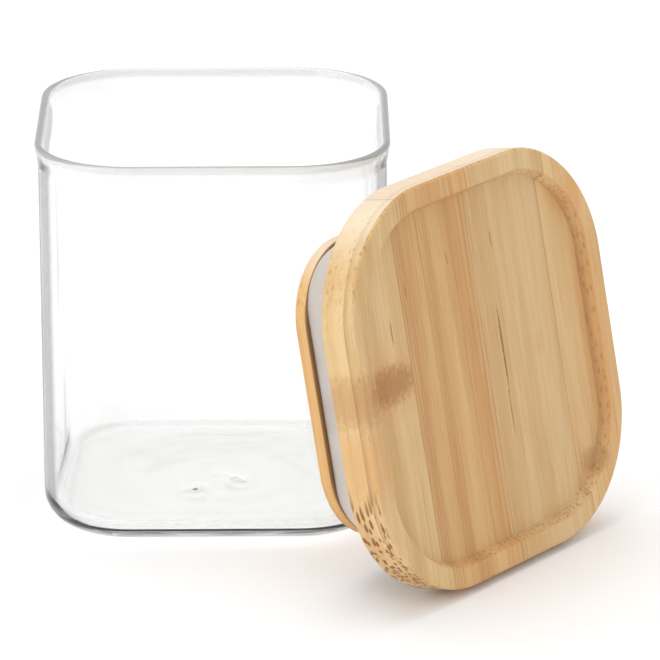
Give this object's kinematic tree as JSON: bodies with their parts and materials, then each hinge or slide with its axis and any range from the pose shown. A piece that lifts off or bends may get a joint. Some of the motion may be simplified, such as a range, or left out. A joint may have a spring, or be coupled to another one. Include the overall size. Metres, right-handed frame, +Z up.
{
  "type": "spice jar",
  "caption": "Open square glass jar with rounded corners and a flared rim, its bamboo plug lid with a silicone seal leaning against it.",
  "frame": {"origin": "centre of the jar's base, on the surface that the jar stands on", "axes": "+Z up through the jar's mouth, +X to the right and -Y towards the viewer, with the jar's flat sides square to X and Y and the lid leaning on the corner between +X and -Y"},
  "size_m": [0.1118, 0.1066, 0.0761],
  "materials": {
    "clear_glass": "clear, smooth, with a fire-polished lip",
    "silicone": "translucent white, smooth satin",
    "bamboo_pale": "sanded and oiled, satin",
    "bamboo_warm": "sanded and oiled, satin"
  },
  "bodies": {
    "jar": {"glass_jar": "clear_glass"},
    "lid": {"cap_stave_left": "bamboo_pale", "cap_stave_mid_left": "bamboo_warm", "cap_stave_mid_right": "bamboo_pale", "cap_stave_right": "bamboo_warm", "plug_stave_left": "bamboo_warm", "plug_stave_middle": "bamboo_pale", "plug_stave_right": "bamboo_warm", "silicone_seal": "silicone"}
  },
  "joints": [
    {"name": "lid_take_away", "type": "slide", "parent": "jar", "child": "lid", "axis": [0.7676, -0.6106, 0.1951], "range_m": [0, 0.08]}
  ]
}
